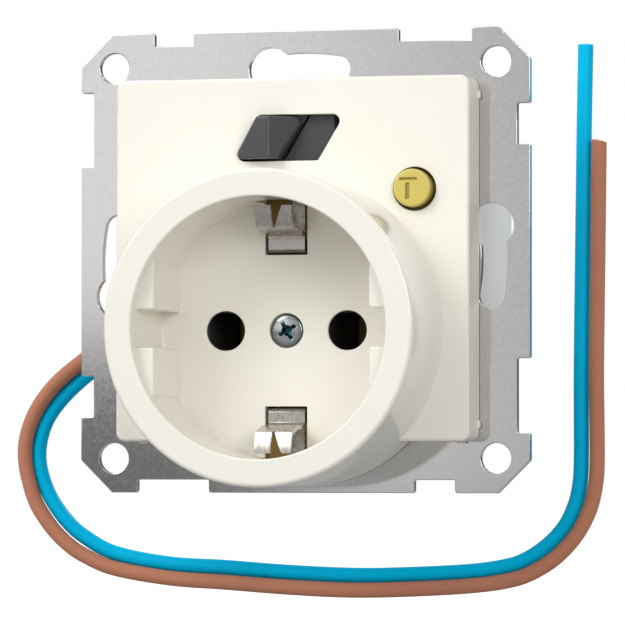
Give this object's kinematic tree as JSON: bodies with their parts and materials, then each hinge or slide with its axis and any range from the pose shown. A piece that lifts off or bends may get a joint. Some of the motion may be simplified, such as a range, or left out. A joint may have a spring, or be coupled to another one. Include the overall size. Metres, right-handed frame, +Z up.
{
  "type": "wall socket",
  "caption": "Square wall socket outlet with a tall round collar, a toggle, a test button, sprung earth clips, a steel mounting plate and a boxed breaker behind.",
  "frame": {"origin": "centre of the mounting plate's back face, which lies on the wall", "axes": "+X to the right seen from the front, +Y into the wall, +Z up; the front faces -Y"},
  "size_m": [0.0955, 0.0605, 0.0875],
  "materials": {
    "galvanised_steel": "rolled, fine upright grain",
    "cream_plastic": "glossy moulding",
    "zinc_plate": "bright zinc plate",
    "nickel_plate": "satin nickel plate",
    "spring_steel": "plain",
    "brass": "plain",
    "silver_contact": "plain",
    "copper": "enamelled",
    "charcoal_plastic": "satin",
    "yellow_plastic": "satin",
    "release_plastic": "plain",
    "thermoset": "plain",
    "housing_plastic": "plain",
    "board": "plain",
    "black_case": "plain",
    "ceramic": "plain",
    "varistor_coat": "plain",
    "brown_insulation": "satin",
    "blue_insulation": "satin"
  },
  "bodies": {
    "case": {"mounting_plate": "galvanised_steel", "front_cover": "cream_plastic", "cover_screw": "zinc_plate", "cover_screw_nut": "brass", "earth_strip": "nickel_plate", "earth_link": "brass", "toggle_pin": "spring_steel", "test_spring": "spring_steel", "test_contact": "brass", "socket_base": "thermoset", "left_contact": "brass", "right_contact": "brass", "rcd_housing": "housing_plastic", "rear_cover": "housing_plastic", "housing_screw_1": "spring_steel", "housing_screw_2": "spring_steel", "housing_screw_3": "spring_steel", "housing_screw_4": "spring_steel", "mechanism_frame": "spring_steel", "fixed_contact_line": "silver_contact", "fixed_contact_neutral": "silver_contact", "transformer_core": "black_case", "transformer_winding": "copper", "line_conductor": "copper", "neutral_conductor": "copper", "trip_relay": "black_case", "circuit_board": "board", "test_resistor": "ceramic", "varistor": "varistor_coat", "terminal_line": "brass", "terminal_neutral": "brass", "terminal_earth": "brass", "clamp_spring_line": "spring_steel", "clamp_spring_neutral": "spring_steel", "clamp_spring_earth": "spring_steel", "brown_lead": "brown_insulation", "blue_lead": "blue_insulation"},
    "toggle": {"toggle_lever": "charcoal_plastic"},
    "carrier": {"contact_carrier": "thermoset", "moving_contact_line": "silver_contact", "moving_contact_neutral": "silver_contact"},
    "test_key": {"test_button": "yellow_plastic"},
    "plunger": {"trip_plunger": "spring_steel"},
    "release_line": {"release_button_line": "release_plastic"},
    "release_neutral": {"release_button_neutral": "release_plastic"},
    "release_earth": {"release_button_earth": "release_plastic"}
  },
  "joints": [
    {"name": "toggle_hinge", "type": "hinge", "parent": "case", "child": "toggle", "pos_m": [-0.00128, 0.004, 0.0186], "axis": [0, 0, 1], "range_deg": [0, 22]},
    {"name": "carrier_slide", "type": "slide", "parent": "case", "child": "carrier", "axis": [1, 0, 0], "range_m": [-0.00269, 0]},
    {"name": "test_press", "type": "slide", "parent": "case", "child": "test_key", "axis": [0, 1, 0], "range_m": [0, 0.0015], "stiffness_N_per_m": 400, "springref_m": -0.002, "deforming": ["test_spring"]},
    {"name": "plunger_slide", "type": "slide", "parent": "case", "child": "plunger", "axis": [0, 0, 1], "range_m": [0, 0.0005]},
    {"name": "release_press_line", "type": "slide", "parent": "case", "child": "release_line", "axis": [0, -1, 0], "range_m": [0, 0.0012], "stiffness_N_per_m": 800, "springref_m": -0.001},
    {"name": "release_press_neutral", "type": "slide", "parent": "case", "child": "release_neutral", "axis": [0, -1, 0], "range_m": [0, 0.0012], "stiffness_N_per_m": 800, "springref_m": -0.001},
    {"name": "release_press_earth", "type": "slide", "parent": "case", "child": "release_earth", "axis": [0, -1, 0], "range_m": [0, 0.0012], "stiffness_N_per_m": 800, "springref_m": -0.001}
  ],
  "couplings": [
    {"joint": "toggle_hinge", "follows": "carrier_slide", "rad_per_m": -142.86}
  ]
}
